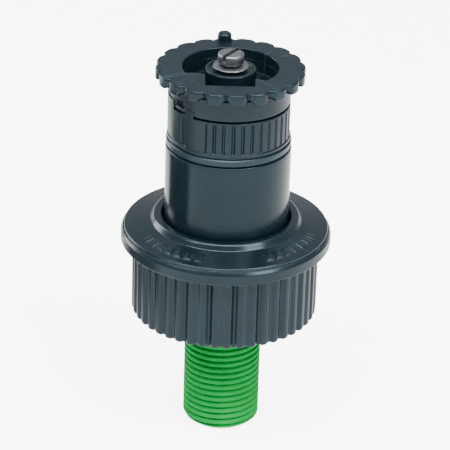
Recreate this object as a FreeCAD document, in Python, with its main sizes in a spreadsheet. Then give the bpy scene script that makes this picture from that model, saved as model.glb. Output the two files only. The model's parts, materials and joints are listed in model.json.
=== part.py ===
import FreeCAD, Part
import os
import re
import Sketcher

# Pop-up irrigation head: a threaded inlet nipple, a case with a screwed cap, a spring-returned
# riser with a ratchet ring, and a rotary-stream nozzle with an arc collar and a radius screw.
# Millimetres. +Z is up along the axis, the origin is the middle of the nipple's lower end,
# and -Y is the front. The riser stands fully up.

DIMENSIONS = {
    # Inlet nipple: half-inch pipe thread, fourteen threads per inch.
    "pipe_radius": 10.478,
    "pipe_thread_depth": 1.162,
    "pipe_pitch": 1.814,
    "pipe_bore": 7.25,
    "pipe_thread_top": 29.4,
    "pipe_chamfer": 1.3,
    "hex_bottom": 30.2,
    "hex_top": 32.2,
    "hex_corner": 13.6,
    "spigot_radius": 9.2,
    "spigot_top": 38.4,
    "gasket_radius": 12.6,
    "nut_top": 38.0,
    "nut_corner": 12.6,
    # Case.
    "case_bottom": 33.2,
    "floor_top": 35.5,
    "case_radius": 21.8,
    "case_bore": 20.2,
    "case_top": 55.0,
    "guide_radius": 18.95,
    "guide_width": 2.0,
    "guide_top": 52.4,
    "guide_count": 6,
    "coarse_pitch": 4.0,
    "coarse_height": 0.8,
    "coarse_base": 1.9,
    "coarse_crest": 0.9,
    "coarse_turns": 2.25,
    "case_thread_start": 43.0,
    "cap_thread_start": 41.0,
    # Cap.
    "skirt_bottom": 34.0,
    "skirt_radius": 25.25,
    "skirt_bore": 22.9,
    "skirt_chamfer": 0.8,
    "deep_root_radius": 23.95,
    "shallow_root_radius": 24.4,
    "rib_top": 53.2,
    "rib_pairs": 23,
    "groove_reach": 3.0,
    "ledge": 55.8,
    "retainer_bore": 20.1,
    "wiper_bore": 19.9,
    "wiper_top": 59.0,
    "undercut_bottom": 53.3,
    "undercut_top": 54.6,
    "undercut_radius": 28.0,
    "flange_bottom": 55.0,
    "crease_radius": 28.05,
    "crease_height": 58.35,
    "crease_depth": 0.45,
    "lip_radius": 27.7,
    "lip_top": 59.35,
    "flange_rounding": 0.35,
    "bead_rounding": 0.8,
    "flange_radius": 28.4,
    "flange_top": 57.6,
    "crown_radius": 19.8,
    "crown_top": 61.0,
    "bead_inner": 17.25,
    "bead_top": 62.4,
    "cap_bore": 17.2,
    "mark_inner": 22.9,
    "mark_outer": 25.3,
    "mark_height": 0.6,
    # Seals, spring seat, return spring and ratchet.
    "retainer_bottom": 56.35,
    "retainer_top": 56.9,
    "retainer_inner": 17.2,
    "wiper_radius": 19.8,
    "wiper_lip": 16.86,
    "spring_radius": 17.75,
    "spring_wire": 0.45,
    "spring_turns": 3.5,
    "ratchet_bottom": 50.1,
    "ratchet_top": 51.9,
    "ratchet_radius": 19.75,
    "ratchet_bore": 16.88,
    "notch_radius": 18.65,
    "notch_width": 2.6,
    "tooth_count": 36,
    "tooth_depth": 0.5,
    # Riser.
    "riser_radius": 16.8,
    "riser_bore": 15.2,
    "riser_foot": 48.4,
    "riser_lip_radius": 18.2,
    "riser_lip_top": 50.0,
    "riser_top": 83.1,
    "foot_seal_bottom": 47.8,
    "foot_seal_inner": 12.9,
    "foot_seal_outer": 17.5,
    # Filter.
    "basket_bottom": 51.0,
    "basket_top": 73.9,
    "basket_radius": 14.6,
    "basket_inner": 13.6,
    "basket_windows": 8,
    "window_bottom": 53.5,
    "window_height": 17.0,
    "window_width": 7.0,
    "mesh_inner": 13.25,
    "mesh_outer": 13.5,
    # Nozzle base.
    "plug_bottom": 74.0,
    "plug_radius": 15.15,
    "plug_floor": 76.0,
    "plug_bore": 11.6,
    "seat_bore": 6.6,
    "seal_groove_bottom": 78.0,
    "seal_groove_height": 1.6,
    "seal_groove_root": 13.7,
    "seal_wire": 0.72,
    "base_flange_radius": 16.7,
    "base_flange_bottom": 83.35,
    "base_flange_top": 85.3,
    "flange_bevel": 0.3,
    "base_spigot_radius": 13.0,
    "base_spigot_bore": 11.0,
    "base_spigot_top": 94.4,
    "hub_radius": 4.2,
    "hub_bottom": 86.5,
    "hub_top": 90.5,
    "spoke_width": 1.8,
    "spoke_count": 4,
    "port_bottom": 91.0,
    "port_radius": 1.2,
    "port_count": 8,
    "pin_offset": 8.8,
    "pin_radius": 0.9,
    "pin_bottom": 66.5,
    # Arc collar.
    "collar_bottom": 85.5,
    "collar_top": 95.5,
    "collar_radius": 16.15,
    "collar_bore": 13.07,
    "collar_foot_top": 86.4,
    "collar_foot_radius": 16.45,
    "knurl_root_radius": 15.6,
    "knurl_bottom": 86.6,
    "knurl_count": 40,
    "knurl_width": 1.1,
    "knurl_start": 247.5,
    "knurl_kept": 33,
    "panel_foot": 87.2,
    "chamber_radius": 14.6,
    "chamber_bottom": 90.6,
    "chamber_top": 93.8,
    "arc_slot_inner": 13.5,
    "arc_slot_outer": 14.3,
    "tab_inner": 16.15,
    "tab_outer": 16.3,
    "tab_top": 97.4,
    "panel_outer": 16.4,
    "wing_top": 98.0,
    # Nozzle head.
    "head_plug_top": 96.0,
    "head_floor_top": 97.0,
    "neck_radius": 16.1,
    "neck_bore": 14.4,
    "neck_top": 101.8,
    "window_sill": 97.1,
    "window_head": 98.9,
    # Centre shaft and viscous brake.
    "shaft_radius": 2.7,
    "shaft_bore": 2.06,
    "shaft_bottom": 82.5,
    "shaft_top": 104.9,
    "rotor_radius": 4.7,
    "rotor_bottom": 100.0,
    "rotor_top": 103.2,
    "bush_radius": 3.7,
    "bush_bore": 2.76,
    "bush_top": 99.6,
    "bush_lip_radius": 4.6,
    "bush_lip_bottom": 97.85,
    # Deflector.
    "cup_bottom": 98.1,
    "cup_floor": 99.1,
    "cup_radius": 14.05,
    "recess_radius": 12.7,
    "disc_bottom": 102.1,
    "disc_radius": 19.85,
    "disc_top": 105.1,
    "lobe_count": 20,
    "scallop_radius": 1.25,
    "scallop_centre": 20.35,
    "flute_radius": 1.15,
    "flute_start": 15.0,
    "deflector_turn": 6.0,
    "rim_rounding": 0.5,
    "nub_rounding": 0.9,
    "nub_radius": 2.0,
    "nub_centre": 18.0,
    "nub_top": 107.4,
    "front_notch_half": 6.4,
    "front_notch_reach": 12.95,
    "front_notch_bottom": 102.3,
    "cheek_bottom": 101.1,
    "housing_radius": 6.8,
    "housing_bore": 5.2,
    "housing_bottom": 99.15,
    "housing_lid_bottom": 103.7,
    "housing_top": 104.7,
    # Radius screw, washers and throttle.
    "screw_radius": 2.0,
    "screw_root": 1.62,
    "screw_pitch": 0.7,
    "screw_bottom": 65.5,
    "screw_thread_top": 77.5,
    "screw_head_bottom": 106.2,
    "screw_head_radius": 3.45,
    "screw_head_top": 108.9,
    "slot_width": 1.1,
    "slot_depth": 1.5,
    "slot_angle": 58.0,
    "washer_bottom": 105.05,
    "washer_top": 105.65,
    "washer_radius": 4.75,
    "throttle_bottom": 69.2,
    "throttle_top": 71.0,
    "throttle_radius": 10.6,
    "throttle_bore": 2.07,
    "throttle_pin_bore": 1.0,
    "throttle_hub_radius": 4.0,
    "throttle_hub_bottom": 67.6,
}

# Angles are in degrees from the front (-Y) round towards +X.
# Deep and shallow grooves alternate between the skirt's ribs: root radius and the first groove's angle.
RIB_GROOVES = [("deep", "deep_root_radius", -8.73), ("shallow", "shallow_root_radius", -0.9)]
GROOVE_ROOT_HALF = 1.0
GROOVE_MOUTH_HALF = 2.9

# Raised dashes on the flange: start angle and sweep.
FLANGE_MARKS = [
    (-60, 5), (-53, 3), (-48, 6), (-40, 3), (-35, 6), (-27, 3), (-22, 6),
    (26, 4), (32, 7), (41, 3), (46, 6), (54, 3), (59, 7), (68, 4),
]
# Smooth panels on the knurled collar, and the tips that reach above it outside the neck:
# outer radius, top and angles.
POINTER_ANGLES = (-44.5, -41, -38, -35)
COLLAR_PANELS = [
    ("thumb_panel", "panel_outer", range(-95, -52, 6)),
    ("pointer_tab", "tab_outer", POINTER_ANGLES),
]
COLLAR_TIPS = [
    ("thumb_wing", "panel_outer", "wing_top", range(-95, -62, 4)),
    ("pointer_tip", "tab_outer", "tab_top", POINTER_ANGLES),
]
WINDOW_ANGLES = (-61, -54, -47)
# The two cheeks that narrow the deflector's well beside its front notch.
CHEEKS = [
    ("left_cheek", [(-11.6, -5.3), (-9.2, -9.6), ("-front_notch_half", -11.6),
                    ("-front_notch_half", -5.6), (-9.4, -5.1)]),
    ("right_cheek", [("front_notch_half", -11.6), (9.2, -9.2), (8.0, -8.2), ("front_notch_half", -7.7)]),
]
ALIAS = re.compile(r"[a-z][a-z_]+")

doc = FreeCAD.newDocument("pop_up_head")
sheet = doc.addObject("Spreadsheet::Sheet", "Dims")
bodies = []


def fill_sheet():
    for row, (name, size) in enumerate(DIMENSIONS.items(), start=1):
        sheet.set("A%d" % row, name)
        sheet.set("B%d" % row, str(size))
        sheet.setAlias("B%d" % row, name)
    doc.recompute()


def cell(word):
    """A driving dimension's spreadsheet cell; any other word as it is."""
    name = word.group(0)
    return "Dims." + name if name in DIMENSIONS else name


def bound(expression):
    """The expression with each driving dimension pointed at its spreadsheet cell."""
    return ALIAS.sub(cell, str(expression))


def size(expression):
    """The present value of an expression of driving dimensions."""
    value = sheet.evalExpression(bound(expression))
    return float(getattr(value, "Value", value))


def new_body(name):
    body = doc.addObject("PartDesign::Body", name)
    body.Label = name
    bodies.append(body)
    return body


def new_sketch(body, role, name, lift=None, turn=0.0):
    """A sketch on one of the body's origin planes, lifted along its normal and turned about Z."""
    sketch = body.newObject("Sketcher::SketchObject", name)
    plane = next(item for item in body.Origin.OriginFeatures if item.Role == role)
    sketch.AttachmentSupport = (plane, "")
    sketch.MapMode = "FlatFace"
    axis = FreeCAD.Vector(0, 0, 1) if role == "XY_Plane" else FreeCAD.Vector(0, 1, 0)
    spin = FreeCAD.Rotation(axis, turn)
    sketch.AttachmentOffset = FreeCAD.Placement(FreeCAD.Vector(0, 0, 0), spin)
    if lift is not None:
        sketch.setExpression("AttachmentOffset.Base.z", bound(lift))
    return sketch


def bind(sketch, kind, geometry, point, expression):
    """Hold one coordinate of a point at a driving dimension."""
    number = sketch.addConstraint(Sketcher.Constraint(kind, -1, 1, geometry, point, size(expression)))
    sketch.setExpression("Constraints[%d]" % number, bound(expression))


def outline(sketch, points):
    """A closed outline through points whose two coordinates are expressions."""
    corners = [FreeCAD.Vector(size(x), size(y), 0) for x, y in points]
    first = sketch.GeometryCount
    for start, end in zip(corners, corners[1:] + corners[:1]):
        sketch.addGeometry(Part.LineSegment(start, end))
    count = len(corners)
    for index in range(count):
        following = first + (index + 1) % count
        sketch.addConstraint(Sketcher.Constraint("Coincident", first + index, 2, following, 1))
    for index, (x, y) in enumerate(points):
        bind(sketch, "DistanceX", first + index, 1, x)
        bind(sketch, "DistanceY", first + index, 1, y)


def circle(sketch, x, y, radius):
    centre = FreeCAD.Vector(size(x), size(y), 0)
    geometry = sketch.addGeometry(Part.Circle(centre, FreeCAD.Vector(0, 0, 1), size(radius)))
    number = sketch.addConstraint(Sketcher.Constraint("Radius", geometry, size(radius)))
    sketch.setExpression("Constraints[%d]" % number, bound(radius))
    bind(sketch, "DistanceX", geometry, 3, x)
    bind(sketch, "DistanceY", geometry, 3, y)


def polar_point(radius, degrees):
    """Coordinates at a radius and an angle from the front, counted round towards +X."""
    return ("(%s) * sin(%s)" % (radius, degrees), "-(%s) * cos(%s)" % (radius, degrees))


def turned(body, name, points, kind="PartDesign::Revolution", start=0.0, sweep=360.0):
    """Turn a half section, given as radius and height, about the axis."""
    sketch = new_sketch(body, "XZ_Plane", name + "_section", turn=start)
    outline(sketch, points)
    feature = body.newObject(kind, name)
    feature.Profile = sketch
    feature.ReferenceAxis = (sketch, ["V_Axis"])
    feature.Angle = sweep
    doc.recompute()
    return feature


def ring(name, inner, outer, bottom, top):
    """A plain turned ring in a body of its own."""
    body = new_body(name)
    turned(body, name + "_turned", [(inner, bottom), (outer, bottom), (outer, top), (inner, top)])
    return body


def raised(body, name, sketch, height):
    feature = body.newObject("PartDesign::Pad", name)
    feature.Profile = sketch
    feature.setExpression("Length", bound(height))
    doc.recompute()
    return feature


def cut(body, name, sketch, depth, upwards=True):
    """A pocket, checked to have taken material away."""
    before = body.Shape.Volume
    feature = body.newObject("PartDesign::Pocket", name)
    feature.Profile = sketch
    feature.Reversed = upwards
    feature.setExpression("Length", bound(depth))
    doc.recompute()
    if body.Shape.Volume > before - 1e-3:
        raise RuntimeError(name + " cuts nothing")
    return feature


def repeated(body, feature, count, angle=None):
    """Repeat a feature evenly about the axis, over a full turn or from end to end of an angle."""
    pattern = body.newObject("PartDesign::PolarPattern", feature.Name + "_pattern")
    pattern.Originals = [feature]
    pattern.Axis = (feature.Profile[0], ["N_Axis"])
    pattern.Angle = 360 if angle is None else angle
    if isinstance(count, str):
        pattern.setExpression("Occurrences", bound(count))
    else:
        pattern.Occurrences = count
    body.Tip = pattern
    doc.recompute()
    return pattern


def about_axis(pattern, body):
    """Point a pattern made from a side sketch at the body's own upright axis."""
    upright = next(item for item in body.Origin.OriginFeatures if item.Role == "Z_Axis")
    pattern.Axis = (upright, [""])
    doc.recompute()


def helix(body, name, points, kind, pitch, turns):
    """Run a thread section, given as radius and height, round the axis."""
    sketch = new_sketch(body, "XZ_Plane", name + "_section")
    outline(sketch, points)
    feature = body.newObject(kind, name)
    feature.Profile = sketch
    feature.ReferenceAxis = (sketch, ["V_Axis"])
    feature.Mode = 1
    feature.setExpression("Pitch", bound(pitch))
    if isinstance(turns, str):
        feature.setExpression("Turns", bound(turns))
    else:
        feature.Turns = turns
    feature.Angle = 0
    doc.recompute()
    return feature


def softened(body, name, rims, radius):
    """Round the circular edges found at each radius and height."""
    wanted = [(size(r), size(z)) for r, z in rims]
    found = []
    for number, edge in enumerate(body.Shape.Edges, start=1):
        if not isinstance(edge.Curve, Part.Circle):
            continue
        for r, z in wanted:
            if abs(edge.Curve.Radius - r) < 1e-3 and abs(edge.Curve.Center.z - z) < 1e-3:
                found.append("Edge%d" % number)
    if len(found) < len(wanted):
        raise RuntimeError(name + " found %d of %d edges" % (len(found), len(wanted)))
    feature = body.newObject("PartDesign::Fillet", name)
    feature.Base = (body.Tip if body.Tip != feature else feature.BaseFeature, found)
    feature.setExpression("Radius", bound(radius))
    body.Tip = feature
    doc.recompute()
    return feature


def hexagon(sketch, corner):
    outline(sketch, [polar_point(corner, 60 * index) for index in range(6)])


def thread_groove(crest, depth, pitch, start):
    """The V between two threads, reaching a little outside the crest."""
    return [("%s - %s" % (crest, depth), "%s - 0.12 * %s" % (start, pitch)),
            ("%s + 0.05" % crest, "%s - 0.44 * %s" % (start, pitch)),
            ("%s + 0.05" % crest, "%s + 0.44 * %s" % (start, pitch)),
            ("%s - %s" % (crest, depth), "%s + 0.12 * %s" % (start, pitch))]


def coarse_ridge(base, crest, start):
    """A trapezoid thread ridge standing on a wall."""
    return [(base, "%s - coarse_base / 2" % start), (base, "%s + coarse_base / 2" % start),
            (crest, "%s + coarse_crest / 2" % start), (crest, "%s - coarse_crest / 2" % start)]


# ---------------------------------------------------------------- inlet

def inlet_nipple():
    body = new_body("inlet_nipple")
    turned(body, "nipple_turned", [
        ("pipe_bore", 0), ("pipe_radius - pipe_chamfer", 0), ("pipe_radius", "pipe_chamfer"),
        ("pipe_radius", "pipe_thread_top"), ("spigot_radius", "hex_bottom"),
        ("spigot_radius", "spigot_top"), ("pipe_bore", "spigot_top")])
    sketch = new_sketch(body, "XY_Plane", "nipple_hexagon", lift="hex_bottom")
    hexagon(sketch, "hex_corner")
    circle(sketch, 0, 0, "pipe_bore")
    raised(body, "nipple_collar", sketch, "hex_top - hex_bottom")
    turns = "(pipe_thread_top + pipe_pitch) / pipe_pitch"
    groove = thread_groove("pipe_radius", "pipe_thread_depth", "pipe_pitch", "-0.9 * pipe_pitch")
    helix(body, "nipple_thread", groove, "PartDesign::SubtractiveHelix", "pipe_pitch", turns)
    return body


def inlet_nut():
    body = new_body("inlet_lock_nut")
    sketch = new_sketch(body, "XY_Plane", "nut_hexagon", lift="floor_top")
    hexagon(sketch, "nut_corner")
    circle(sketch, 0, 0, "spigot_radius")
    raised(body, "nut_block", sketch, "nut_top - floor_top")
    return body


# ---------------------------------------------------------------- case and cap

def body_case():
    body = new_body("body_case")
    turned(body, "case_turned", [
        ("spigot_radius + 0.05", "case_bottom"), ("case_radius - 1", "case_bottom"),
        ("case_radius", "case_bottom + 1"), ("case_radius", "case_top"), ("case_bore", "case_top"),
        ("case_bore", "floor_top"), ("spigot_radius + 0.05", "floor_top")])
    sketch = new_sketch(body, "XY_Plane", "guide_section", lift="floor_top")
    outline(sketch, [("guide_radius", "-guide_width / 2"), ("case_bore + 0.4", "-guide_width / 2"),
                     ("case_bore + 0.4", "guide_width / 2"), ("guide_radius", "guide_width / 2")])
    guide = raised(body, "case_guide", sketch, "guide_top - floor_top")
    repeated(body, guide, "guide_count")
    ridge = coarse_ridge("case_radius - 0.2", "case_radius + coarse_height", "case_thread_start")
    helix(body, "case_thread", ridge, "PartDesign::AdditiveHelix", "coarse_pitch", "coarse_turns")
    return body


def rib_groove(sketch, root, angle):
    """A groove between two of the skirt's ribs, wider at its mouth than at its root."""
    mouth = "skirt_radius + groove_reach"
    outline(sketch, [
        polar_point(mouth, angle - GROOVE_MOUTH_HALF), polar_point(root, angle - GROOVE_ROOT_HALF),
        polar_point(root, angle + GROOVE_ROOT_HALF), polar_point(mouth, angle + GROOVE_MOUTH_HALF)])


def flange_slope(radius):
    """Height of the flange's sloping top at a radius."""
    inwards = "(lip_radius - %s) / (lip_radius - crown_radius)" % radius
    return "lip_top + %s * (crown_top - lip_top)" % inwards


def flange_mark(body, number, start, sweep):
    """A raised dash that follows the flange's slope."""
    corners = [("mark_inner", -0.3), ("mark_outer", -0.3), ("mark_outer", "mark_height"),
               ("mark_inner", "mark_height")]
    points = [(radius, "%s + %s" % (flange_slope(radius), rise)) for radius, rise in corners]
    turned(body, "mark_%d" % number, points, start=start - 90.0, sweep=sweep)


def cap():
    body = new_body("cap")
    turned(body, "cap_turned", [
        ("skirt_bore", "skirt_bottom"), ("skirt_radius - skirt_chamfer", "skirt_bottom"),
        ("skirt_radius", "skirt_bottom + skirt_chamfer"), ("skirt_radius", "undercut_bottom"),
        ("undercut_radius", "undercut_top"), ("flange_radius", "flange_bottom"),
        ("flange_radius", "flange_top"), ("crease_radius", "crease_height"),
        ("crease_radius - crease_depth", "crease_height + 0.15"), ("lip_radius", "lip_top"),
        ("crown_radius", "crown_top"), ("crown_radius - 0.25", "bead_top"),
        ("bead_inner", "bead_top"), ("bead_inner", "bead_top - 1.2"), ("cap_bore", "bead_top - 1.6"),
        ("cap_bore", "wiper_top"), ("wiper_bore", "wiper_top"), ("wiper_bore", "retainer_top"),
        ("retainer_bore", "retainer_top"), ("retainer_bore", "ledge"), ("skirt_bore", "ledge")])
    softened(body, "lip_edge", [("lip_radius", "lip_top")], "flange_rounding")
    bead_rims = [("bead_inner", "bead_top"), ("crown_radius - 0.25", "bead_top")]
    softened(body, "bead_edges", bead_rims, "bead_rounding")
    for name, root, angle in RIB_GROOVES:
        sketch = new_sketch(body, "XY_Plane", name + "_groove_section", lift="skirt_bottom - 0.1")
        rib_groove(sketch, root, angle)
        groove = cut(body, name + "_groove", sketch, "rib_top - skirt_bottom + 0.1")
        repeated(body, groove, "rib_pairs")
    ridge = coarse_ridge("skirt_bore + 0.2", "skirt_bore - coarse_height", "cap_thread_start")
    helix(body, "cap_thread", ridge, "PartDesign::AdditiveHelix", "coarse_pitch", "coarse_turns")
    for number, (start, sweep) in enumerate(FLANGE_MARKS):
        flange_mark(body, number, start, sweep)
    return body


def wiper_seal():
    """A soft ring with an upper and a lower lip that close on the riser."""
    body = new_body("wiper_seal")
    turned(body, "wiper_turned", [
        ("wiper_radius", "retainer_top + 0.05"), ("wiper_radius", "wiper_top"),
        ("wiper_lip + 0.9", "wiper_top"), ("wiper_lip", "wiper_top - 0.25"), ("wiper_lip", "wiper_top - 0.6"),
        ("wiper_lip + 0.9", "wiper_top - 0.9"), ("wiper_lip + 0.9", "retainer_top + 0.75"),
        ("wiper_lip", "retainer_top + 0.5"), ("wiper_lip", "retainer_top + 0.15"),
        ("wiper_lip + 0.4", "retainer_top + 0.05")])
    return body


def retraction_spring():
    body = new_body("retraction_spring")
    sketch = new_sketch(body, "XZ_Plane", "wire_section")
    circle(sketch, "spring_radius", "ratchet_top + spring_wire + 0.05", "spring_wire")
    feature = body.newObject("PartDesign::AdditiveHelix", "spring_coil")
    feature.Profile = sketch
    feature.ReferenceAxis = (sketch, ["V_Axis"])
    feature.Mode = 2
    feature.setExpression("Height", bound("retainer_bottom - ratchet_top - 2 * spring_wire - 0.1"))
    feature.setExpression("Turns", bound("spring_turns"))
    feature.Angle = 0
    doc.recompute()
    return body


def ratchet_ring():
    body = new_body("ratchet_ring")
    turned(body, "ratchet_turned", [
        ("ratchet_bore", "ratchet_bottom"), ("ratchet_radius", "ratchet_bottom"),
        ("ratchet_radius", "ratchet_top"), ("ratchet_bore", "ratchet_top")])
    sketch = new_sketch(body, "XY_Plane", "guide_notch_section", lift="ratchet_bottom - 0.1")
    outline(sketch, [("notch_radius", "-notch_width / 2"), ("ratchet_radius + 1", "-notch_width / 2"),
                     ("ratchet_radius + 1", "notch_width / 2"), ("notch_radius", "notch_width / 2")])
    notch = cut(body, "guide_notch", sketch, "ratchet_top - ratchet_bottom + 0.2")
    repeated(body, notch, "guide_count")
    sketch = new_sketch(body, "XY_Plane", "tooth_section", lift="ratchet_bottom - 0.1")
    outline(sketch, [("ratchet_bore - 0.5", "-0.45"), ("riser_lip_radius", "-0.55"),
                     ("riser_lip_radius", "0.55"), ("ratchet_bore - 0.5", "0.45")])
    tooth = cut(body, "tooth_gap", sketch, "tooth_depth + 0.1")
    repeated(body, tooth, "tooth_count")
    return body


# ---------------------------------------------------------------- riser

def riser_tube():
    body = new_body("riser_tube")
    turned(body, "riser_turned", [
        ("riser_bore", "riser_foot"), ("riser_lip_radius", "riser_foot"),
        ("riser_lip_radius", "riser_lip_top"), ("riser_radius", "riser_lip_top"),
        ("riser_radius", "riser_top - 0.3"), ("riser_radius - 0.3", "riser_top"),
        ("riser_bore", "riser_top")])
    return body


def filter_basket():
    body = new_body("filter_basket")
    turned(body, "basket_turned", [
        (0, "basket_bottom"), ("basket_radius", "basket_bottom"), ("basket_radius", "basket_top"),
        ("basket_inner", "basket_top"), ("basket_inner", "basket_bottom + 1.2"), (0, "basket_bottom + 1.2")])
    sketch = new_sketch(body, "XZ_Plane", "window_section")
    outline(sketch, [("-window_width / 2", "window_bottom"), ("window_width / 2", "window_bottom"),
                     ("window_width / 2", "window_bottom + window_height"),
                     ("-window_width / 2", "window_bottom + window_height")])
    window = cut(body, "basket_window", sketch, "basket_radius + 1", upwards=False)
    about_axis(repeated(body, window, "basket_windows"), body)
    return body


def nozzle_base():
    """The threaded insert that closes the riser's top and carries the collar, with the screw's seat."""
    body = new_body("nozzle_base")
    turned(body, "base_turned", [
        ("seat_bore", "plug_bottom"), ("plug_radius", "plug_bottom"), ("plug_radius", "base_flange_bottom"),
        ("base_flange_radius - flange_bevel", "base_flange_bottom"),
        ("base_flange_radius", "base_flange_bottom + flange_bevel"),
        ("base_flange_radius", "base_flange_top - flange_bevel"),
        ("base_flange_radius - flange_bevel", "base_flange_top"),
        ("base_spigot_radius", "base_flange_top"), ("base_spigot_radius", "base_spigot_top"),
        ("base_spigot_bore", "base_spigot_top"), ("base_spigot_bore", "base_flange_bottom"),
        ("plug_bore", "base_flange_bottom - 0.6"), ("plug_bore", "plug_floor"), ("seat_bore", "plug_floor")])
    turned(body, "base_seal_groove", [
        ("seal_groove_root", "seal_groove_bottom"), ("plug_radius + 1", "seal_groove_bottom"),
        ("plug_radius + 1", "seal_groove_bottom + seal_groove_height"),
        ("seal_groove_root", "seal_groove_bottom + seal_groove_height")], "PartDesign::Groove")
    sketch = new_sketch(body, "XY_Plane", "spoke_section", lift="hub_bottom")
    root, end, half = "shaft_radius + 0.6", "base_spigot_bore + 0.5", "spoke_width / 2"
    outline(sketch, [(root, "-" + half), (end, "-" + half), (end, half), (root, half)])
    spoke = raised(body, "base_spoke", sketch, "hub_top - hub_bottom")
    repeated(body, spoke, "spoke_count")
    sketch = new_sketch(body, "XY_Plane", "hub_section", lift="hub_bottom")
    circle(sketch, 0, 0, "hub_radius")
    circle(sketch, 0, 0, "shaft_radius")
    raised(body, "base_hub", sketch, "hub_top - hub_bottom")
    sketch = new_sketch(body, "XZ_Plane", "port_section")
    circle(sketch, 0, "port_bottom + port_radius", "port_radius")
    port = cut(body, "base_port", sketch, "base_spigot_radius + 1", upwards=False)
    about_axis(repeated(body, port, "port_count"), body)
    for number, side in enumerate(("pin_offset", "-pin_offset")):
        sketch = new_sketch(body, "XY_Plane", "guide_pin_%d_section" % number, lift="pin_bottom")
        circle(sketch, side, 0, "pin_radius")
        raised(body, "guide_pin_%d" % number, sketch, "plug_bottom + 0.5 - pin_bottom")
    return body


def o_ring(name, radius, height, wire):
    body = new_body(name)
    sketch = new_sketch(body, "XZ_Plane", name + "_wire")
    circle(sketch, radius, height, wire)
    feature = body.newObject("PartDesign::Revolution", name + "_turned")
    feature.Profile = sketch
    feature.ReferenceAxis = (sketch, ["V_Axis"])
    feature.Angle = 360
    doc.recompute()
    return body


def nozzle_head():
    """The neck ring above the collar, with the annular chamber that feeds the streams."""
    body = new_body("nozzle_head")
    turned(body, "head_turned", [
        ("shaft_radius", "base_spigot_top + 0.05"), ("base_spigot_radius - 0.05", "base_spigot_top + 0.05"),
        ("base_spigot_radius - 0.05", "head_plug_top"), ("neck_radius", "head_plug_top"),
        ("neck_radius", "neck_top"), ("neck_bore", "neck_top"), ("neck_bore", "head_floor_top"),
        ("shaft_radius", "head_floor_top")])
    sketch = new_sketch(body, "XY_Plane", "feed_slot_section", lift="head_plug_top - 0.1")
    outer = [polar_point("arc_slot_outer", angle) for angle in range(-80, 81, 20)]
    inner = [polar_point("arc_slot_inner", angle) for angle in range(80, -81, -20)]
    outline(sketch, outer + inner)
    cut(body, "feed_slot", sketch, "head_floor_top - head_plug_top + 0.2")
    sketch = new_sketch(body, "XY_Plane", "window_opening_section", lift="window_sill")
    outer = [polar_point("neck_radius + 0.5", angle) for angle in WINDOW_ANGLES]
    inner = [polar_point("neck_bore - 0.5", angle) for angle in reversed(WINDOW_ANGLES)]
    outline(sketch, outer + inner)
    cut(body, "neck_window", sketch, "window_head - window_sill")
    return body


# ---------------------------------------------------------------- arc collar

def arc_collar():
    body = new_body("arc_collar")
    turned(body, "collar_turned", [
        ("collar_bore", "collar_bottom"), ("collar_foot_radius", "collar_bottom"),
        ("collar_foot_radius", "collar_foot_top"), ("collar_radius - 0.6", "collar_foot_top"),
        ("collar_radius - 0.6", "knurl_bottom"), ("collar_radius", "knurl_bottom"),
        ("collar_radius", "collar_top"), ("collar_bore", "collar_top")])
    turned(body, "collar_chamber", [
        ("collar_bore - 1", "chamber_bottom"), ("chamber_radius", "chamber_bottom"),
        ("chamber_radius", "chamber_top"), ("collar_bore - 1", "chamber_top")], "PartDesign::Groove")
    sketch = new_sketch(body, "XY_Plane", "arc_slot_section", lift="chamber_top - 0.1")
    outer = [polar_point("arc_slot_outer", angle) for angle in range(-90, 91, 20)]
    inner = [polar_point("arc_slot_inner", angle) for angle in range(90, -91, -20)]
    outline(sketch, outer + inner)
    cut(body, "arc_slot", sketch, "collar_top - chamber_top + 0.2")
    start = DIMENSIONS["knurl_start"]
    sketch = new_sketch(body, "XY_Plane", "knurl_section", lift="knurl_bottom", turn=start)
    outline(sketch, [("knurl_root_radius", "-knurl_width / 4"), ("collar_radius + 0.2", "-knurl_width / 2"),
                     ("collar_radius + 0.2", "knurl_width / 2"), ("knurl_root_radius", "knurl_width / 4")])
    groove = cut(body, "knurl_groove", sketch, "collar_top - 0.6 - knurl_bottom")
    kept = DIMENSIONS["knurl_kept"]
    repeated(body, groove, kept, angle=(kept - 1) * 360.0 / DIMENSIONS["knurl_count"])
    for name, outside, angles in COLLAR_PANELS:
        sketch = new_sketch(body, "XY_Plane", name + "_section", lift="panel_foot")
        outer = [polar_point(outside, angle) for angle in angles]
        root = [polar_point("knurl_root_radius - 0.2", angle) for angle in reversed(angles)]
        outline(sketch, outer + root)
        raised(body, name, sketch, "collar_top - panel_foot")
    for name, outside, top, angles in COLLAR_TIPS:
        sketch = new_sketch(body, "XY_Plane", name + "_section", lift="collar_top - 0.5")
        outer = [polar_point(outside, angle) for angle in angles]
        inner = [polar_point("tab_inner", angle) for angle in reversed(angles)]
        outline(sketch, outer + inner)
        raised(body, name, sketch, top + " - collar_top + 0.5")
    return body


# ---------------------------------------------------------------- shaft, brake and deflector

def brake_rotor():
    body = ring("brake_rotor", "shaft_radius", "rotor_radius", "rotor_bottom", "rotor_top")
    turned(body, "rotor_waist", [
        ("rotor_radius - 0.8", "rotor_bottom + 1.1"), ("rotor_radius + 1", "rotor_bottom + 1.1"),
        ("rotor_radius + 1", "rotor_top - 1.1"), ("rotor_radius - 0.8", "rotor_top - 1.1")],
        "PartDesign::Groove")
    return body


def deflector_bush():
    body = new_body("deflector_bush")
    turned(body, "bush_turned", [
        ("bush_bore", "bush_lip_bottom"), ("bush_lip_radius", "bush_lip_bottom"),
        ("bush_lip_radius", "cup_bottom"), ("bush_radius", "cup_bottom"), ("bush_radius", "bush_top"),
        ("bush_bore", "bush_top")])
    return body


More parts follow.
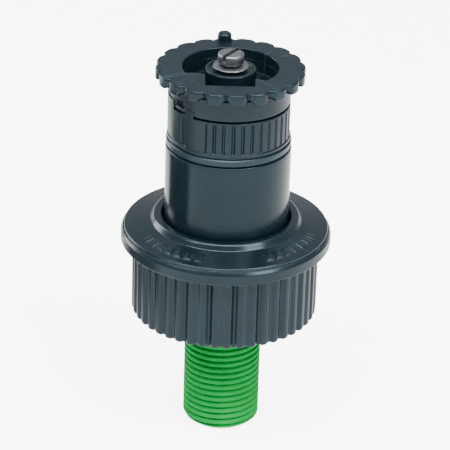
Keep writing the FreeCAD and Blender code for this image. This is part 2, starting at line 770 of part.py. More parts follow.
def deflector_disc():
    """A shallow cup under a lobed rim, with one stream flute in its underside between each two lobes."""
    body = new_body("deflector_disc")
    turned(body, "deflector_turned", [
        ("bush_radius", "cup_bottom"), ("cup_radius", "cup_bottom"), ("cup_radius", "disc_bottom"),
        ("disc_radius", "disc_bottom"), ("disc_radius", "disc_top"), ("recess_radius", "disc_top"),
        ("recess_radius", "cup_floor"), ("bush_radius", "cup_floor")])
    softened(body, "rim_edge", [("disc_radius", "disc_top")], "rim_rounding")
    lobe_half = 180.0 / DIMENSIONS["lobe_count"]
    first = 90 + DIMENSIONS["deflector_turn"] + lobe_half
    sketch = new_sketch(body, "XY_Plane", "scallop_section", lift="disc_bottom - 0.1", turn=first)
    circle(sketch, "scallop_centre", 0, "scallop_radius")
    scallop = cut(body, "rim_scallop", sketch, "disc_top - disc_bottom + 0.2")
    repeated(body, scallop, "lobe_count")
    sketch = new_sketch(body, "XZ_Plane", "flute_section", turn=first + 90)
    reach = FreeCAD.Rotation(FreeCAD.Vector(0, 1, 0), first + 90).multVec(FreeCAD.Vector(0, 0, 1))
    sketch.setExpression("AttachmentOffset.Base.x", bound("%.9f * flute_start" % reach.x))
    sketch.setExpression("AttachmentOffset.Base.z", bound("%.9f * flute_start" % reach.z))
    circle(sketch, 0, "disc_bottom", "flute_radius")
    flute = cut(body, "stream_flute", sketch, "disc_radius + 1 - flute_start", upwards=True)
    about_axis(repeated(body, flute, "lobe_count"), body)
    for name, corners in CHEEKS:
        sketch = new_sketch(body, "XY_Plane", name + "_section", lift="cheek_bottom")
        outline(sketch, corners)
        raised(body, name, sketch, "disc_top - cheek_bottom")
    sketch = new_sketch(body, "XY_Plane", "front_notch_section", lift="front_notch_bottom")
    half, front, back = "front_notch_half", "-front_notch_reach", "-housing_radius - 1"
    outline(sketch, [("-" + half, front), (half, front), (half, back), ("-" + half, back)])
    cut(body, "front_notch", sketch, "disc_top - front_notch_bottom + 0.1")
    nub_turn = 90 + DIMENSIONS["deflector_turn"]
    sketch = new_sketch(body, "XY_Plane", "nub_section", lift="disc_top - 0.5", turn=nub_turn)
    circle(sketch, "nub_centre", 0, "nub_radius")
    raised(body, "index_nub", sketch, "nub_top - disc_top + 0.5")
    softened(body, "nub_edge", [("nub_radius", "nub_top")], "nub_rounding")
    return body


def brake_housing():
    body = new_body("brake_housing")
    turned(body, "housing_turned", [
        ("housing_bore", "housing_bottom"), ("housing_radius", "housing_bottom"),
        ("housing_radius", "housing_top"), ("housing_radius - 1", "housing_top"),
        ("housing_radius - 1", "housing_lid_bottom + 0.45"), ("bush_bore", "housing_lid_bottom + 0.45"),
        ("bush_bore", "housing_lid_bottom"), ("housing_bore", "housing_lid_bottom")])
    return body


# ---------------------------------------------------------------- screw and throttle

def radius_screw():
    body = new_body("radius_screw")
    turned(body, "screw_turned", [
        (0, "screw_bottom"), ("screw_root", "screw_bottom"), ("screw_radius", "screw_bottom + 0.5"),
        ("screw_radius", "screw_head_bottom"), ("screw_head_radius", "screw_head_bottom"),
        ("screw_head_radius", "screw_head_top - 0.35"), ("screw_head_radius - 0.35", "screw_head_top"),
        (0, "screw_head_top")])
    depth = "(screw_radius - screw_root)"
    groove = thread_groove("screw_radius", depth, "screw_pitch", "(screw_bottom - 0.5)")
    helix(body, "screw_thread", groove, "PartDesign::SubtractiveHelix", "screw_pitch",
          "(screw_thread_top - screw_bottom) / screw_pitch")
    sketch = new_sketch(body, "XY_Plane", "slot_section", lift="screw_head_top - slot_depth",
                        turn=DIMENSIONS["slot_angle"])
    left, right, half = "-screw_head_radius - 1", "screw_head_radius + 1", "slot_width / 2"
    outline(sketch, [(left, "-" + half), (right, "-" + half), (right, half), (left, half)])
    cut(body, "driver_slot", sketch, "slot_depth + 0.1")
    return body


def screw_washer():
    body = new_body("screw_washer")
    turned(body, "washer_turned", [
        ("screw_radius", "washer_bottom + 0.25"), ("washer_radius", "washer_bottom"),
        ("washer_radius", "washer_bottom + 0.35"), ("screw_radius + 1", "washer_top"),
        ("screw_radius", "washer_top")])
    return body


def throttle_plug():
    body = new_body("throttle_plug")
    turned(body, "throttle_turned", [
        ("throttle_bore", "throttle_hub_bottom"), ("throttle_hub_radius", "throttle_hub_bottom"),
        ("throttle_hub_radius", "throttle_bottom"), ("throttle_radius", "throttle_bottom"),
        ("throttle_radius", "throttle_top - 0.5"), ("throttle_radius - 0.5", "throttle_top"),
        ("throttle_bore", "throttle_top")])
    sketch = new_sketch(body, "XY_Plane", "pin_hole_section", lift="throttle_bottom - 0.1")
    circle(sketch, "pin_offset", 0, "throttle_pin_bore")
    circle(sketch, "-pin_offset", 0, "throttle_pin_bore")
    cut(body, "pin_holes", sketch, "throttle_top - throttle_bottom + 0.2")
    return body


def check_and_write():
    doc.recompute()
    for item in doc.Objects:
        if "Invalid" in item.State or "Error" in item.State:
            raise RuntimeError("%s did not recompute" % item.Name)
    for body in bodies:
        shape = body.Shape
        if shape.isNull() or not shape.isValid() or len(shape.Solids) != 1:
            raise RuntimeError("%s has %d solids" % (body.Label, len(shape.Solids)))
    os.makedirs("parts", exist_ok=True)
    for body in bodies:
        body.Shape.exportStep("parts/%s.step" % body.Label)
        print("%-20s %9.1f mm3" % (body.Label, body.Shape.Volume))


fill_sheet()
inlet_nipple()
ring("inlet_gasket", "spigot_radius", "gasket_radius", "hex_top", "case_bottom")
inlet_nut()
body_case()
cap()
ring("cap_gasket", "case_bore", "case_radius + 0.6", "case_top", "ledge")
wiper_seal()
ring("spring_seat", "retainer_inner", "retainer_bore - 0.05", "retainer_bottom", "retainer_top")
retraction_spring()
ratchet_ring()
riser_tube()
ring("foot_seal", "foot_seal_inner", "foot_seal_outer", "foot_seal_bottom", "riser_foot")
filter_basket()
ring("filter_mesh", "mesh_inner", "mesh_outer", "basket_bottom + 1.4", "basket_top - 0.4")
nozzle_base()
o_ring("nozzle_o_ring", "plug_radius - seal_wire", "seal_groove_bottom + seal_groove_height / 2", "seal_wire")
nozzle_head()
arc_collar()
ring("centre_shaft", "shaft_bore", "shaft_radius", "shaft_bottom", "shaft_top")
brake_rotor()
deflector_bush()
deflector_disc()
brake_housing()
radius_screw()
screw_washer()
o_ring("screw_o_ring", "screw_radius + 0.5", "washer_top + 0.27", "0.25")
throttle_plug()
check_and_write()
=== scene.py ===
import json
import math

import bmesh
import bpy
from mathutils import Matrix, Quaternion, Vector


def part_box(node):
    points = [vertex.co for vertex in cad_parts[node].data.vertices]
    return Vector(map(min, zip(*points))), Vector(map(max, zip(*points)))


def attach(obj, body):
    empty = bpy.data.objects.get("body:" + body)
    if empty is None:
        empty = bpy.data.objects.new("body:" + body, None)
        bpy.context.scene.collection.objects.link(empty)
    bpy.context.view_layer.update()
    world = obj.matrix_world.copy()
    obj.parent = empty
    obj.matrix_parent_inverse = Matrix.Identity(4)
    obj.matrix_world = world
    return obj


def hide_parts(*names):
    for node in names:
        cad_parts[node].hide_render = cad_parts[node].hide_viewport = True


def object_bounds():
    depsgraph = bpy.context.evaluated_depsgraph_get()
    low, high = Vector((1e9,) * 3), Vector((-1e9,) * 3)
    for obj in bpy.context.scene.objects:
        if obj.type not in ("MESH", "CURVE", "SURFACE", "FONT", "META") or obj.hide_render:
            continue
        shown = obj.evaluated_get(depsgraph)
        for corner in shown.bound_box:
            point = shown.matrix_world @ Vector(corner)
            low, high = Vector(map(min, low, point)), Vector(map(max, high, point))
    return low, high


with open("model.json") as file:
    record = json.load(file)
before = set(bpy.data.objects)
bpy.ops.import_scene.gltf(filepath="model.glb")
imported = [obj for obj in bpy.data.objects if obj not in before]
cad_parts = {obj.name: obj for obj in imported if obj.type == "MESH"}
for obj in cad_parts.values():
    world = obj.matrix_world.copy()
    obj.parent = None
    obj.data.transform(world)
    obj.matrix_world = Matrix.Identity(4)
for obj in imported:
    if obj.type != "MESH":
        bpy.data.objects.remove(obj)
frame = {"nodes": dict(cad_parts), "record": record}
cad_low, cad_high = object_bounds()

MM = 0.001
FULL = 2 * math.pi


# ---------------------------------------------------------------- measures from the frame

def level(node):
    """Lowest and highest point of a CAD node, in millimetres."""
    low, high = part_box(node)
    return low[2] / MM, high[2] / MM


def reach(node):
    """Outer radius of a round CAD node, in millimetres."""
    low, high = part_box(node)
    return (high[0] - low[0]) / 2 / MM


def from_front(angle):
    """Degrees from the front (-Y) round towards +X, for a direction in radians from +X."""
    return (math.degrees(angle) + 90 + 180) % 360 - 180


# ---------------------------------------------------------------- mesh building

def eased(low, high, x):
    """0 below low, 1 above high, smooth between."""
    t = min(max((x - low) / (high - low), 0.0), 1.0)
    return t * t * (3 - 2 * t)


def rounded(corners, arc_steps=5):
    """A closed outline of (radius, height) points.

    Each corner is (radius, height, fillet, divisions of the straight run to the next corner).
    """
    arcs = []
    count = len(corners)
    for index, (r, z, fillet, _) in enumerate(corners):
        here = Vector((r, z))
        before = Vector(corners[index - 1][:2]) - here
        after = Vector(corners[(index + 1) % count][:2]) - here
        u, v = before.normalized(), after.normalized()
        cosine = min(max(u.dot(v), -0.9999), 0.9999)
        half = math.acos(cosine) / 2
        run = min(fillet / math.tan(half), 0.48 * before.length, 0.48 * after.length)
        radius = run * math.tan(half)
        centre = here + (u + v).normalized() * (radius / math.sin(half))
        start, end = here + u * run - centre, here + v * run - centre
        sweep = math.pi - 2 * half
        points = []
        for step in range(arc_steps + 1):
            t = step / arc_steps
            share_start = math.sin((1 - t) * sweep) / math.sin(sweep)
            share_end = math.sin(t * sweep) / math.sin(sweep)
            points.append(centre + start * share_start + end * share_end)
        arcs.append(points)
    outline = []
    for index, points in enumerate(arcs):
        outline += points
        divisions = corners[index][3]
        start, end = points[-1], arcs[(index + 1) % count][0]
        for step in range(1, divisions):
            outline.append(start.lerp(end, step / divisions))
    return [(p.x, p.y) for p in outline]


def even_turn(count):
    return [FULL * step / count for step in range(count)]


def swept(name, section, angles):
    """A closed ring-shaped mesh: section(angle) gives the outline in millimetres at that angle."""
    verts = []
    width = 0
    for angle in angles:
        outline = section(angle)
        width = len(outline)
        across, along = math.cos(angle) * MM, math.sin(angle) * MM
        verts += [(r * across, r * along, z * MM) for r, z in outline]
    turns = len(angles)
    faces = []
    for i in range(turns):
        a, b = i * width, (i + 1) % turns * width
        for j in range(width):
            k = (j + 1) % width
            faces.append((a + j, b + j, b + k, a + k))
    mesh = bpy.data.meshes.new(name)
    mesh.from_pydata(verts, [], faces)
    mesh.validate()
    obj = bpy.data.objects.new(name, mesh)
    bpy.context.scene.collection.objects.link(obj)
    mesh.shade_smooth()
    outward(mesh)
    obj.modifiers.new("level_faces", "WEIGHTED_NORMAL")
    return obj


def outward(mesh):
    """Turn the faces outward, so that the enclosed volume is positive."""
    bm = bmesh.new()
    bm.from_mesh(mesh)
    if bm.calc_volume(signed=True) < 0:
        bmesh.ops.reverse_faces(bm, faces=bm.faces)
    bm.to_mesh(mesh)
    bm.free()


def lathe(name, corners, turns=256, arc_steps=5):
    outline = rounded(corners, arc_steps)
    return swept(name, lambda angle: outline, even_turn(turns))


def curved_block(name, inner, outer, bottom, top, start, end, soft):
    """A block that follows a cylinder between two angles from the front, with softened edges."""
    bm = bmesh.new()
    steps = max(int(abs(end - start) / 1.5), 3)
    rows = []
    for step in range(steps + 1):
        angle = math.radians(start + (end - start) * step / steps - 90)
        corners = [(inner, bottom), (outer, bottom), (outer, top), (inner, top)]
        rows.append([bm.verts.new((r * MM * math.cos(angle), r * MM * math.sin(angle), z * MM))
                     for r, z in corners])
    for near, far in zip(rows, rows[1:]):
        for k in range(4):
            bm.faces.new((near[k], near[(k + 1) % 4], far[(k + 1) % 4], far[k]))
    bm.faces.new(rows[0])
    bm.faces.new(reversed(rows[-1]))
    bmesh.ops.recalc_face_normals(bm, faces=bm.faces)
    mesh = bpy.data.meshes.new(name)
    bm.to_mesh(mesh)
    bm.free()
    obj = bpy.data.objects.new(name, mesh)
    bpy.context.scene.collection.objects.link(obj)
    mesh.shade_smooth()
    outward(mesh)
    bevel = obj.modifiers.new("softened", "BEVEL")
    bevel.width = soft * MM
    bevel.segments = 4
    bevel.limit_method = "ANGLE"
    bevel.angle_limit = math.radians(40)
    bevel.harden_normals = True
    return obj


# ---------------------------------------------------------------- materials

class Nodes:
    """A small helper that adds and links shader nodes."""

    def __init__(self, name):
        self.material = bpy.data.materials.new(name)
        self.material.use_nodes = True
        self.tree = self.material.node_tree
        self.shader = self.tree.nodes["Principled BSDF"]
        self.place = self.add("ShaderNodeTexCoord").outputs["Object"]

    def add(self, kind, **settings):
        node = self.tree.nodes.new(kind)
        for key, value in settings.items():
            setattr(node, key, value)
        return node

    def link(self, source, target):
        self.tree.links.new(source, target)

    def noise(self, scale, detail=4.0, roughness=0.55, stretch=None):
        """Noise whose cells are about 1/scale metres across."""
        node = self.add("ShaderNodeTexNoise")
        node.inputs["Scale"].default_value = scale
        node.inputs["Detail"].default_value = detail
        node.inputs["Roughness"].default_value = roughness
        source = self.place
        if stretch:
            mapping = self.add("ShaderNodeMapping")
            mapping.inputs["Scale"].default_value = stretch
            self.link(self.place, mapping.inputs["Vector"])
            source = mapping.outputs["Vector"]
        self.link(source, node.inputs["Vector"])
        return node.outputs["Fac"]

    def span(self, value, low, high, to_low, to_high):
        node = self.add("ShaderNodeMapRange")
        node.inputs["From Min"].default_value = low
        node.inputs["From Max"].default_value = high
        node.inputs["To Min"].default_value = to_low
        node.inputs["To Max"].default_value = to_high
        self.link(value, node.inputs["Value"])
        return node.outputs["Result"]

    def ramp(self, value, stops):
        node = self.add("ShaderNodeValToRGB")
        while len(node.color_ramp.elements) < len(stops):
            node.color_ramp.elements.new(0.5)
        for element, (place, colour) in zip(node.color_ramp.elements, stops):
            element.position = place
            element.color = (*colour, 1.0)
        self.link(value, node.inputs["Fac"])
        return node.outputs["Color"]

    def mix(self, share, first, second):
        node = self.add("ShaderNodeMix", data_type="RGBA")
        self.link(share, node.inputs["Factor"])
        for socket, source in ((node.inputs["A"], first), (node.inputs["B"], second)):
            if isinstance(source, tuple):
                socket.default_value = (*source, 1.0)
            else:
                self.link(source, socket)
        return node.outputs["Result"]

    def worn_edges(self, low, high):
        """1 on sharp outer edges, 0 elsewhere."""
        point = self.add("ShaderNodeNewGeometry").outputs["Pointiness"]
        return self.span(point, low, high, 0.0, 1.0)

    def bump(self, layers):
        """Stack height layers given as (value, distance in metres, strength)."""
        normal = None
        for value, distance, strength in layers:
            node = self.add("ShaderNodeBump")
            node.inputs["Distance"].default_value = distance
            node.inputs["Strength"].default_value = strength
            self.link(value, node.inputs["Height"])
            if normal is not None:
                self.link(normal, node.inputs["Normal"])
            normal = node.outputs["Normal"]
        self.link(normal, self.shader.inputs["Normal"])


PLASTIC_TINT = (0.74, 0.92, 1.0, 1.0)


def moulded_plastic(name, deep, pale, edge, rough_low, rough_high, shine=0.5):
    """Injection-moulded plastic: faint flow mottling, fine grain, rubbed edges."""
    n = Nodes(name)
    mottling = n.noise(140.0, detail=5.0)
    body = n.ramp(mottling, [(0.3, deep), (0.7, pale)])
    rubbed = n.worn_edges(0.53, 0.64)
    n.link(n.mix(rubbed, body, edge), n.shader.inputs["Base Color"])
    smudge = n.noise(60.0, detail=6.0, roughness=0.6)
    n.link(n.span(smudge, 0.3, 0.7, rough_low, rough_high), n.shader.inputs["Roughness"])
    grain = n.noise(5200.0, detail=2.0)
    flow = n.noise(420.0, detail=3.0)
    n.bump([(grain, 0.00002, 0.22), (flow, 0.00012, 0.12)])
    n.shader.inputs["Specular IOR Level"].default_value = shine
    n.shader.inputs["Specular Tint"].default_value = PLASTIC_TINT
    n.shader.inputs["IOR"].default_value = 1.5
    return n.material


def soft_rubber(name):
    n = Nodes(name)
    dust = n.noise(240.0, detail=6.0)
    n.link(n.ramp(dust, [(0.35, (0.010, 0.010, 0.011)), (0.8, (0.035, 0.036, 0.038))]),
           n.shader.inputs["Base Color"])
    n.link(n.span(dust, 0.3, 0.7, 0.62, 0.8), n.shader.inputs["Roughness"])
    n.bump([(n.noise(3800.0, detail=3.0), 0.00003, 0.4)])
    return n.material


def turned_steel(name, tone, rough):
    """Stainless steel with fine rings left by turning, and a few dull specks."""
    n = Nodes(name)
    specks = n.noise(900.0, detail=6.0, roughness=0.7)
    bright = tuple(min(part * 1.15, 1.0) for part in tone)
    dull = tuple(part * 0.72 for part in tone)
    n.link(n.ramp(specks, [(0.3, dull), (0.6, bright)]), n.shader.inputs["Base Color"])
    n.link(n.span(specks, 0.3, 0.75, rough, rough + 0.16), n.shader.inputs["Roughness"])
    rings = n.add("ShaderNodeTexWave", wave_type="RINGS", rings_direction="Z")
    rings.inputs["Scale"].default_value = 2600.0
    rings.inputs["Distortion"].default_value = 1.5
    n.link(n.place, rings.inputs["Vector"])
    n.bump([(rings.outputs["Fac"], 0.00001, 0.25), (specks, 0.00003, 0.2)])
    n.shader.inputs["Metallic"].default_value = 1.0
    return n.material


RUBBED_BLACK = (0.015, 0.030, 0.040)

MATERIALS = {
    "black_plastic": moulded_plastic(
        "black_moulded_plastic", (0.0022, 0.006, 0.0085), (0.0035, 0.009, 0.013), RUBBED_BLACK,
        0.26, 0.36, shine=0.26),
    "cap_plastic": moulded_plastic(
        "black_glossy_plastic", (0.002, 0.0055, 0.008), (0.0033, 0.0085, 0.012), RUBBED_BLACK,
        0.18, 0.26, shine=0.42),
    "riser_plastic": moulded_plastic(
        "black_polished_plastic", (0.0025, 0.007, 0.010), (0.004, 0.010, 0.0145), RUBBED_BLACK,
        0.15, 0.22, shine=0.2),
    "green_plastic": moulded_plastic(
        "green_moulded_plastic", (0.000, 0.200, 0.030), (0.000, 0.260, 0.044), (0.000, 0.260, 0.044),
        0.42, 0.52, shine=0.02),
    "pale_acetal": moulded_plastic(
        "natural_acetal", (0.62, 0.60, 0.54), (0.72, 0.70, 0.64), (0.80, 0.79, 0.75), 0.38, 0.50),
    "black_rubber": soft_rubber("seal_rubber"),
    "stainless_steel": turned_steel("turned_stainless", (0.20, 0.21, 0.225), 0.34),
}


def finish_with(piece, body, slot, *replaced, material=None):
    """Give a new piece the material of its slot (or the material given), hang it on its body, and hide the
    CAD nodes that it stands for.
    """
    piece.data.materials.clear()
    piece.data.materials.append(MATERIALS[material or slot])
    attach(piece, body)
    if replaced:
        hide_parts(*replaced)
    return piece


# ---------------------------------------------------------------- inlet nipple

NIPPLE_BORE = 7.25
THREAD_PITCH = 1.814
THREAD_DEPTH = 0.95
THREAD_RADIUS = 10.478
THREAD_TOP = 29.4
THREAD_START_TURN = 0.35
RISE_STEP = 0.15
END_CHAMFER = 2.0
HEX_BOTTOM, HEX_TOP, HEX_CORNER = 30.2, 32.2, 13.6
SPIGOT_RADIUS = 9.2


def thread_form(phase):
    """Depth share of a thread with straight flanks: 0 on the crest, 1 in the root."""
    away = abs((phase % 1.0) * 2 - 1)
    straight = min(max((away - 0.08) / 0.40, 0.0), 1.0)
    return 1 - 0.5 * straight - 0.5 * eased(0.02, 0.56, away)


def hexagon_radius(angle, corner):
    flat = corner * math.cos(math.pi / 6)
    offset = (angle + math.pi / 2) % (math.pi / 3) - math.pi / 6
    return min(flat / math.cos(offset), corner - 0.35)


def inlet_nipple():
    bottom, top = level("inlet_nipple")
    rise_steps = int((THREAD_TOP - bottom) / RISE_STEP) + 1
    rise = [bottom + RISE_STEP * step for step in range(rise_steps)]

    def thread_radius(z, angle):
        crest = THREAD_RADIUS - END_CHAMFER * (1 - eased(bottom - 0.6, bottom + 1.8, z)) ** 1.4
        fade = eased(bottom + 0.1, bottom + 0.7, z) * (1 - eased(THREAD_TOP - 1.2, THREAD_TOP, z))
        form = thread_form((z / THREAD_PITCH) - angle / FULL + THREAD_START_TURN)
        return crest - THREAD_DEPTH * form * fade

    def section(angle):
        hexed = hexagon_radius(angle, HEX_CORNER)
        upper = rounded([
            (SPIGOT_RADIUS, THREAD_TOP + 0.4, 0.1, 1), (SPIGOT_RADIUS, HEX_BOTTOM, 0.15, 2),
            (hexed, HEX_BOTTOM, 0.3, 2), (hexed, HEX_TOP, 0.3, 2), (SPIGOT_RADIUS, HEX_TOP, 0.15, 4),
            (SPIGOT_RADIUS, top, 0.3, 2), (NIPPLE_BORE, top, 0.3, 1), (NIPPLE_BORE, top - 1.0, 0.1, 1)])
        lower = [(thread_radius(z, angle), z) for z in rise]
        mouth = [(NIPPLE_BORE, bottom + 0.8), (NIPPLE_BORE + 0.25, bottom + 0.2),
                 (NIPPLE_BORE + 0.5, bottom)]
        bore = [(NIPPLE_BORE, top - 1.0 - (top - bottom - 2.0) * step / 8) for step in range(1, 8)]
        return lower + upper + bore + mouth

    piece = swept("threaded_nipple", section, even_turn(216))
    return finish_with(piece, "base", "green_plastic", "inlet_nipple")


# ---------------------------------------------------------------- cap

SKIRT_BORE = 22.9
SKIRT_RADIUS = 25.25
GROOVE_SINKS = (0.95, 0.55)
GROOVE_PITCH = 360 / 46
GROOVE_TURN = -8.73
GROOVE_HALF = 1.35
RIB_TOP = 53.9
FLANGE_BOTTOM, SIDE_TOP = 55.0, 57.6
CREASE_HEIGHT = 58.35
LIP_TOP = 59.2
# The cap is polished above this height, and dull below it.
DULL_BELOW = 57.7
CROWN_RADIUS, CROWN_TOP = 19.8, 61.0
BEAD_INNER, CAP_BORE = 17.25, 17.2
WIPER_BORE, WIPER_TOP = 19.9, 59.0
RETAINER_BORE, LEDGE = 20.1, 55.8
MARK_HEIGHT = 0.18
MARK_BAND = (22.9, 25.3)
MARK_SWEEP = 4.0
MARK_STARTS = [*range(-60, -17, 7), *range(26, 69, 7)]


def rib_sink(front, z):
    """Depth of the grooves between the skirt's ribs, at an angle and a height."""
    end = RIB_TOP - 0.9
    number = round((front - GROOVE_TURN) / GROOVE_PITCH)
    turn = front - GROOVE_TURN - number * GROOVE_PITCH
    away = math.hypot(turn * math.radians(1) * SKIRT_RADIUS, max(z - end, 0.0))
    return GROOVE_SINKS[number % 2] * (1 - eased(0.0, GROOVE_HALF, away))


def mark_rise(front, r):
    """Height of the raised dashes on the flange."""
    rise = 0.0
    per_degree = math.radians(1) * r
    band = min(r - MARK_BAND[0], MARK_BAND[1] - r)
    for start in MARK_STARTS:
        inside = min(front - start, start + MARK_SWEEP - front) * per_degree
        rise = max(rise, MARK_HEIGHT * eased(-0.5, 0.5, min(inside, band)))
    return rise


def cap_shell():
    bottom, top = level("cap")
    flange = reach("cap")
    ring_outer = CROWN_RADIUS - 0.25
    skirt = [(SKIRT_BORE, bottom, 0.3, 2), (SKIRT_RADIUS, bottom, 0.9, 44), (SKIRT_RADIUS, 53.3, 0.8, 10)]
    side = [(flange - 0.4, 54.6, 0.4, 2), (flange, FLANGE_BOTTOM, 0.3, 6), (flange, SIDE_TOP, 0.5, 2)]
    crease = [(flange - 0.5, CREASE_HEIGHT, 0.1, 2), (flange - 0.9, CREASE_HEIGHT + 0.15, 0.1, 2)]
    crown = [(flange - 0.8, LIP_TOP, 1.1, 56), (CROWN_RADIUS + 0.6, CROWN_TOP - 0.2, 0.5, 2)]
    bead = [(ring_outer - 0.1, top, 0.9, 1), (BEAD_INNER, top, 0.85, 1)]
    inside = [(CAP_BORE, WIPER_TOP, 0.1, 1), (WIPER_BORE, WIPER_TOP, 0.1, 1), (RETAINER_BORE, LEDGE, 0.1, 2),
              (SKIRT_BORE, LEDGE, 0.1, 8)]
    outline = rounded(skirt + side + crease + crown + bead + inside, 8)

    def section(angle):
        front = from_front(angle)
        shaped = []
        for r, z in outline:
            if r > SKIRT_RADIUS - 1.2 and z < RIB_TOP + 1.0:
                sink = rib_sink(front, z)
                share = eased(SKIRT_RADIUS - 1.2, SKIRT_RADIUS - 0.4, r)
                shaped.append((r - sink * share, z + 0.55 * sink * (1 - eased(bottom, bottom + 1.0, z))))
            elif MARK_BAND[0] - 0.3 < r < MARK_BAND[1] + 0.3 and z > LIP_TOP:
                shaped.append((r, z + mark_rise(front, r)))
            else:
                shaped.append((r, z))
        return shaped

    piece = swept("ribbed_cap", section, even_turn(1080))
    finish_with(piece, "base", "black_plastic", "cap", material="cap_plastic")
    piece.data.materials.append(MATERIALS["black_plastic"])
    for face in piece.data.polygons:
        if face.center.z < DULL_BELOW * MM:
            face.material_index = 1
    return piece


# ---------------------------------------------------------------- riser and its rings

def riser_tube():
    bottom, top = level("riser_tube")
    lip = reach("riser_tube")
    outer, inner = 16.8, 15.2
    corners = [
        (inner, bottom, 0.2, 1), (lip, bottom, 0.3, 1), (lip, bottom + 1.6, 0.3, 1),
        (outer, bottom + 1.6, 0.2, 24), (outer, top, 0.35, 1), (inner, top, 0.2, 16)]
    piece = lathe("smooth_riser", corners, turns=360)
    return finish_with(piece, "riser", "black_plastic", "riser_tube", material="riser_plastic")


WINDOW_TURN = (-61, -47)


def neck_ring():
    """The nozzle head, whose neck has a small sunk window above the thumb panel."""
    bottom, top = level("nozzle_head")
    neck = reach("nozzle_head")
    plug_top, floor_top, neck_bore = 96.0, 97.0, 14.4
    shaft_bore, plug = 2.7, 12.95
    outline = rounded([
        (shaft_bore, bottom, 0.1, 2), (plug, bottom, 0.3, 1), (plug, plug_top, 0.1, 1),
        (neck, plug_top, 0.35, 24), (neck, top, 0.3, 1), (neck_bore, top, 0.3, 4),
        (neck_bore, floor_top, 0.2, 3), (shaft_bore, floor_top, 0.1, 2)])

    def section(angle):
        front = from_front(angle)
        window = min(front - WINDOW_TURN[0], WINDOW_TURN[1] - front) * 0.28
        shaped = []
        for r, z in outline:
            deep = eased(-0.1, 0.25, window) * eased(96.9, 97.3, z) * (1 - eased(98.7, 99.1, z))
            shaped.append((r - 1.3 * deep if r > neck - 0.2 else r, z))
        return shaped

    piece = swept("neck_ring", section, even_turn(720))
    return finish_with(piece, "riser", "black_plastic", "nozzle_head")


# ---------------------------------------------------------------- arc collar

KNURL_STEP = 9.0
KNURL_START = -22.5
KNURL_END = -94.5 + 360
KNURL_SINK = 0.55
KNURL_HALF = 0.5
PANEL_GAP = (-53.0, -44.5)
GRIP_RADIUS = 16.15


def knurl_sink(front, z, bottom, top):
    """Depth of the collar's fine upright grooves, and of the recess beside its thumb panel."""
    turn = (front - KNURL_START) % 360
    if turn > KNURL_END - KNURL_START + 2:
        recess = min(front - PANEL_GAP[0], PANEL_GAP[1] - front) * math.radians(1) * GRIP_RADIUS
        return 0.5 * eased(-0.1, 0.5, recess) * eased(bottom, bottom + 0.6, z)
    step = (turn + KNURL_STEP / 2) % KNURL_STEP - KNURL_STEP / 2
    across = abs(step) * math.radians(1) * GRIP_RADIUS
    ends = max(bottom + 0.5 - z, z - top + 1.0, 0.0)
    return KNURL_SINK * (1 - eased(0.1, KNURL_HALF + 0.12, math.hypot(across, ends)))


def arc_collar():
    bottom, _ = level("arc_collar")
    top = 95.5
    bore, grip, foot = 13.07, GRIP_RADIUS, reach("arc_collar")
    foot_top, knurl_bottom = 86.4, 86.6
    outline = rounded([
        (bore, bottom, 0.2, 1), (foot, bottom, 0.3, 2), (foot, foot_top, 0.25, 1),
        (grip, knurl_bottom, 0.15, 36), (grip, top, 0.35, 1), (bore, top, 0.3, 8)])

    def section(angle):
        front = from_front(angle)
        shaped = []
        for r, z in outline:
            knurled = r > grip - 0.4 and z > knurl_bottom
            sink = knurl_sink(front, z, knurl_bottom, top) if knurled else 0.0
            shaped.append((r - sink, z))
        return shaped

    piece = swept("knurled_collar", section, even_turn(1440))
    finish_with(piece, "collar", "black_plastic", "arc_collar")
    foot_height = 87.2
    blocks = (
        ("thumb_panel", 16.4, foot_height, top, -95, -53),
        ("thumb_wing", 16.4, top - 0.4, 98.0, -95, -63),
        ("pointer_tab", 16.3, foot_height, 97.4, -44.5, -35),
    )
    for block, outer, low, high, start, end in blocks:
        part = curved_block(block, 16.12, outer, low, high, start, end, 0.1)
        finish_with(part, "collar", "black_plastic", "arc_collar")


# ---------------------------------------------------------------- deflector

LOBES = 20
LOBE_SINK = 1.3
FIRST_LOBE = 96.0
WELL_RADIUS = 12.7
# The well's straight-sided front, from its left cheek round the front notch to its right cheek.
WELL_FRONT = [(-11.6, -5.3), (-9.4, -5.1), (-6.5, -5.6), (-6.4, -12.95), (6.4, -12.95), (6.4, -7.7),
              (8.0, -8.2), (9.1, -8.9)]


def from_lobe(angle):
    """Share of the way from a lobe's middle, 0, to the notch beside it, 1."""
    pitch = 360 / LOBES
    away = (math.degrees(angle) - FIRST_LOBE + pitch / 2) % pitch - pitch / 2
    return abs(away) / (pitch / 2)


def well_reach(angle):
    """Radius of the well's edge in a direction."""
    direction = Vector((math.cos(angle), math.sin(angle)))
    for start, end in zip(WELL_FRONT, WELL_FRONT[1:]):
        a, b = Vector(start), Vector(end)
        side_a = direction.x * a.y - direction.y * a.x
        side_b = direction.x * b.y - direction.y * b.x
        if side_a * side_b <= 0 and a.dot(direction) > 0 and side_a != side_b:
            return a.lerp(b, side_a / (side_a - side_b)).length
    return WELL_RADIUS


